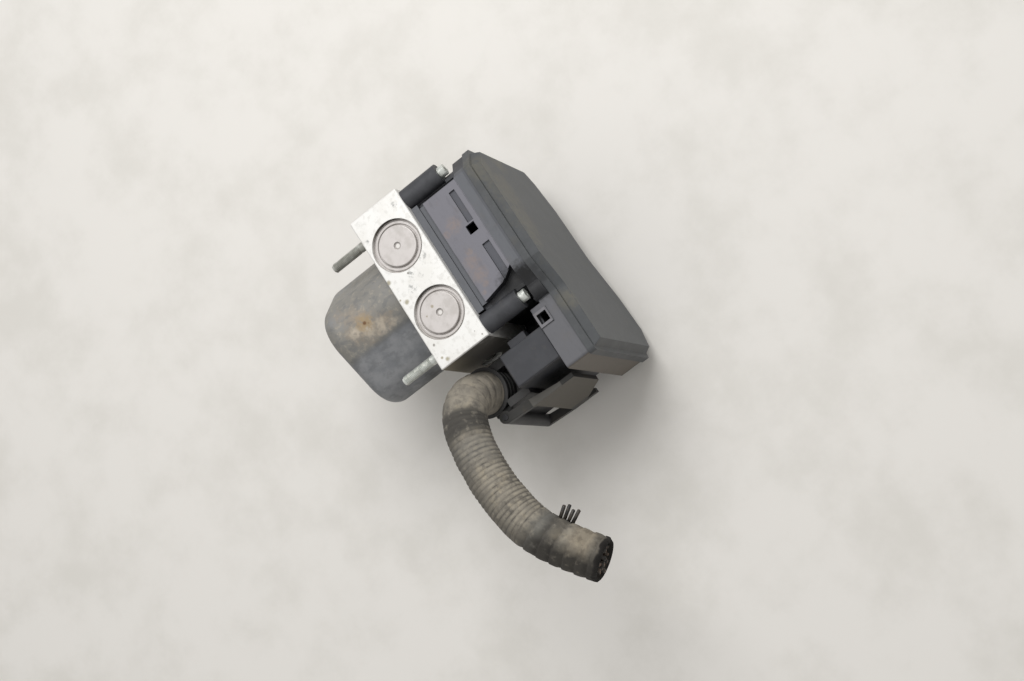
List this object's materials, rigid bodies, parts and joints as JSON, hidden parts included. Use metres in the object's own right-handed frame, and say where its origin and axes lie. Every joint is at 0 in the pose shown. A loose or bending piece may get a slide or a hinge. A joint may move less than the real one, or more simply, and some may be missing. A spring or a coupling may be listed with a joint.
{
  "type": "abs brake module",
  "caption": "Anti-lock brake module: aluminium valve block with two accumulator caps, pump motor, plastic control unit, and a plug with a cut harness stub.",
  "frame": {"origin": "midway between the two mounting studs, on the motor face of the valve block", "axes": "+X along the block to the connector end, +Y from the motor to the control unit, +Z out of the face with the accumulator caps"},
  "size_m": [0.2648, 0.141, 0.1426],
  "materials": {
    "block_aluminium": "milled and anodised, dull",
    "cap_aluminium": "pressed, zinc flake",
    "zinc_steel": "zinc plated, dull",
    "spring_steel": "oiled",
    "motor_steel": "passivated, dusty, spots of rust",
    "bearing_steel": "ground",
    "core_steel": "stacked sheet",
    "copper": "drawn",
    "magnet": "sintered",
    "brass_part": "turned",
    "carbon": "pressed carbon",
    "housing_plastic": "moulded, dusty",
    "lid_plastic": "moulded, dusty",
    "plug_plastic": "moulded, dusty",
    "lever_plastic": "moulded, dusty",
    "coil_plastic": "moulded",
    "board_laminate": "lacquered",
    "chip_plastic": "moulded",
    "seal_rubber": "moulded",
    "harness_tape": "taped conduit, dusty",
    "wire_insulation": "extruded"
  },
  "bodies": {
    "unit": {"valve_block": "block_aluminium", "mounting_studs": "zinc_steel", "accumulator_cap_rear": "cap_aluminium", "accumulator_cap_front": "cap_aluminium", "accumulator_spring_rear": "spring_steel", "accumulator_spring_front": "spring_steel", "motor_can": "motor_steel", "motor_end_plate": "zinc_steel", "motor_front_bearing": "bearing_steel", "motor_rear_bush": "brass_part", "motor_magnets": "magnet", "brush_holder": "coil_plastic", "motor_brushes": "carbon", "motor_screws": "zinc_steel", "pump_cylinder_rear": "bearing_steel", "pump_cylinder_front": "bearing_steel", "pump_spring_rear": "spring_steel", "pump_spring_front": "spring_steel", "pump_plug_rear": "zinc_steel", "pump_plug_front": "zinc_steel", "inlet_valves": "bearing_steel", "outlet_valves": "bearing_steel", "solenoid_coils": "coil_plastic", "connector_pins": "brass_part", "ecu_seal": "seal_rubber", "ecu_housing": "housing_plastic", "circuit_board": "board_laminate", "board_components": "chip_plastic", "ecu_lid": "lid_plastic", "ecu_upper_screws": "zinc_steel", "ecu_lower_screws": "zinc_steel", "plug_body": "plug_plastic", "plug_cover": "plug_plastic", "lever_pin": "plug_plastic", "harness_conduit": "harness_tape", "harness_wires": "wire_insulation"},
    "armature": {"armature_core": "core_steel", "armature_winding": "copper", "commutator": "copper", "motor_shaft": "bearing_steel", "eccentric_ring": "bearing_steel"},
    "accumulator_rear": {"accumulator_piston_rear": "brass_part", "accumulator_seal_rear": "seal_rubber"},
    "accumulator_front": {"accumulator_piston_front": "brass_part", "accumulator_seal_front": "seal_rubber"},
    "plunger_rear": {"pump_piston_rear": "bearing_steel"},
    "plunger_front": {"pump_piston_front": "bearing_steel"},
    "lever": {"plug_lever": "lever_plastic"}
  },
  "joints": [
    {"name": "armature_spin", "type": "hinge", "parent": "unit", "child": "armature", "pos_m": [0, 0, -0.033], "axis": [0, 1, 0], "continuous": true},
    {"name": "accumulator_slide_rear", "type": "slide", "parent": "unit", "child": "accumulator_rear", "axis": [0, 0, 1], "range_m": [0, 0.01], "stiffness_N_per_m": 1500, "springref_m": -0.01, "deforming": ["accumulator_spring_rear"]},
    {"name": "accumulator_slide_front", "type": "slide", "parent": "unit", "child": "accumulator_front", "axis": [0, 0, 1], "range_m": [0, 0.01], "stiffness_N_per_m": 1500, "springref_m": -0.01, "deforming": ["accumulator_spring_front"]},
    {"name": "plunger_slide_rear", "type": "slide", "parent": "unit", "child": "plunger_rear", "axis": [-1, 0, 0], "range_m": [0, 0.0024], "stiffness_N_per_m": 3000, "springref_m": -0.002, "deforming": ["pump_spring_rear"]},
    {"name": "plunger_slide_front", "type": "slide", "parent": "unit", "child": "plunger_front", "axis": [1, 0, 0], "range_m": [0, 0.0024], "stiffness_N_per_m": 3000, "springref_m": -0.002, "deforming": ["pump_spring_front"]},
    {"name": "lever_swing", "type": "hinge", "parent": "unit", "child": "lever", "pos_m": [0.092, 0.008, -0.05], "axis": [0, 0, -1], "range_deg": [0, 70]}
  ]
}
